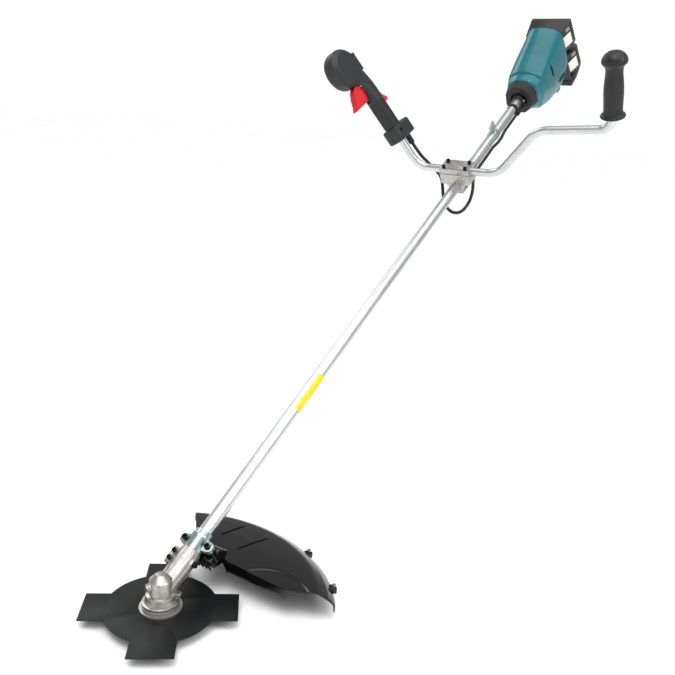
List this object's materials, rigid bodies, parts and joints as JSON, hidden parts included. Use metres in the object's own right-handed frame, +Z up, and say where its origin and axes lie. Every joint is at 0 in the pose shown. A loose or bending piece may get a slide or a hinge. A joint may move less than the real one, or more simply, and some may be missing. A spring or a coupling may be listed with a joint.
{
  "type": "battery brush cutter",
  "caption": "Rear-motor battery brush cutter with straight pipe, bike handle, gear head, tooth blade and guard.",
  "frame": {"origin": "middle of the hole in the harness eye on the pipe", "axes": "+X from the blade back to the motor unit, +Y to the switch grip, +Z up with the blade level"},
  "size_m": [1.7799, 0.6695, 1.0771],
  "materials": {
    "blade_steel": "satin black coated steel",
    "zinc_steel": "zinc plated, slightly blue",
    "ground_steel": "ground",
    "spring_steel": "drawn wire",
    "cast_alloy": "die cast, satin champagne silver",
    "black_steel": "black oxide",
    "guard_plastic": "glossy moulded black",
    "pipe_alloy": "satin silver coated",
    "bar_alloy": "satin anodised",
    "grip_rubber": "moulded soft black",
    "grip_plastic": "fine grained dark grey",
    "red_plastic": "moulded red",
    "grey_plastic": "moulded grey",
    "panel_plastic": "moulded dark grey",
    "cable_rubber": "smooth black jacket",
    "nose_plastic": "fine grained black",
    "inner_plastic": "plain",
    "teal_plastic": "fine grained teal",
    "winding_copper": "enamelled winding on laminations",
    "board": "green circuit board",
    "contact_brass": "plated contact",
    "pack_plastic": "satin black"
  },
  "bodies": {
    "frame": {"gear_bearings": "ground_steel", "gear_case": "cast_alloy", "gear_case_screws": "black_steel", "guard_bracket": "zinc_steel", "guard_clamp": "zinc_steel", "guard_bolts": "black_steel", "guard": "guard_plastic", "guard_screws": "zinc_steel", "main_pipe": "pipe_alloy", "shaft_bushes": "inner_plastic", "harness_eye": "zinc_steel", "harness_band": "zinc_steel", "harness_bolt": "zinc_steel", "handle_holder": "cast_alloy", "handle_clamp": "cast_alloy", "handle_bolts": "black_steel", "control_cable": "cable_rubber", "cable_clips": "cable_rubber", "nose_cover": "nose_plastic", "motor_case_left": "teal_plastic", "motor_case_right": "teal_plastic", "motor_case_screws": "black_steel", "motor_stator": "winding_copper", "motor_bearings": "ground_steel", "controller": "board", "battery_dock": "nose_plastic", "dock_terminals": "contact_brass", "rear_bumper": "nose_plastic"},
    "cutter": {"output_spindle": "ground_steel", "driven_gear": "ground_steel", "receive_washer": "zinc_steel", "blade": "blade_steel", "clamp_washer": "zinc_steel", "blade_cup": "zinc_steel", "blade_nut": "zinc_steel"},
    "drive_line": {"pinion_gear": "ground_steel", "drive_shaft": "ground_steel", "shaft_coupling": "ground_steel", "motor_rotor": "ground_steel", "cooling_fan": "inner_plastic"},
    "handlebar": {"handle_bar": "bar_alloy", "left_grip": "grip_rubber", "switch_case_inner": "grip_plastic", "switch_case_outer": "grip_plastic", "switch_screws": "black_steel", "trigger_pin": "ground_steel", "trigger_spring": "spring_steel", "lock_pin": "ground_steel", "trigger_switch": "inner_plastic", "control_panel": "panel_plastic", "cable_gland": "cable_rubber"},
    "trigger": {"trigger": "red_plastic"},
    "lock_lever": {"lock_lever": "red_plastic"},
    "power_button": {"power_button": "grey_plastic"},
    "reverse_button": {"reverse_button": "grey_plastic"},
    "battery_upper": {"battery_upper": "pack_plastic"},
    "battery_lower": {"battery_lower": "pack_plastic"},
    "upper_latch_button": {"upper_latch_button": "grey_plastic"},
    "lower_latch_button": {"lower_latch_button": "grey_plastic"}
  },
  "joints": [
    {"name": "blade_spin", "type": "hinge", "parent": "frame", "child": "cutter", "pos_m": [-1.15037, 0, -0.76907], "axis": [0, 0, 1], "continuous": true},
    {"name": "shaft_spin", "type": "hinge", "parent": "frame", "child": "drive_line", "pos_m": [-0.89513, 0, -0.58693], "axis": [0.8508, 0, 0.5255], "continuous": true},
    {"name": "handle_tilt", "type": "hinge", "parent": "frame", "child": "handlebar", "pos_m": [-0.18608, 0, -0.10787], "axis": [0, 1, 0], "range_deg": [-12, 15], "deforming": ["control_cable"]},
    {"name": "trigger_pull", "type": "hinge", "parent": "handlebar", "child": "trigger", "pos_m": [-0.30522, 0.2195, 0.06001], "axis": [-0.2247, -0.866, 0.4467], "range_deg": [0, 14], "stiffness_Nm_per_rad": 0.3, "springref_deg": -5.73},
    {"name": "lock_press", "type": "hinge", "parent": "handlebar", "child": "lock_lever", "pos_m": [-0.24766, 0.1995, 0.05019], "axis": [0.2247, 0.866, -0.4467], "range_deg": [0, 8], "stiffness_Nm_per_rad": 0.3, "springref_deg": -5.73},
    {"name": "power_button_press", "type": "slide", "parent": "handlebar", "child": "power_button", "axis": [-0.8934, 0, -0.4493], "range_m": [0, 0.0015], "stiffness_N_per_m": 300, "springref_m": -0.0005},
    {"name": "reverse_button_press", "type": "slide", "parent": "handlebar", "child": "reverse_button", "axis": [-0.8934, 0, -0.4493], "range_m": [0, 0.0015], "stiffness_N_per_m": 300, "springref_m": -0.0005},
    {"name": "battery_upper_slide", "type": "slide", "parent": "frame", "child": "battery_upper", "axis": [0, -1, 0], "range_m": [0, 0.125]},
    {"name": "battery_lower_slide", "type": "slide", "parent": "frame", "child": "battery_lower", "axis": [0, -1, 0], "range_m": [0, 0.125]},
    {"name": "upper_latch_press", "type": "slide", "parent": "battery_upper", "child": "upper_latch_button", "axis": [0, 1, 0], "range_m": [0, 0.003], "stiffness_N_per_m": 300, "springref_m": -0.0005},
    {"name": "lower_latch_press", "type": "slide", "parent": "battery_lower", "child": "lower_latch_button", "axis": [0, 1, 0], "range_m": [0, 0.003], "stiffness_N_per_m": 300, "springref_m": -0.0005}
  ],
  "couplings": [
    {"joint": "shaft_spin", "follows": "blade_spin", "ratio": -1.3571}
  ]
}
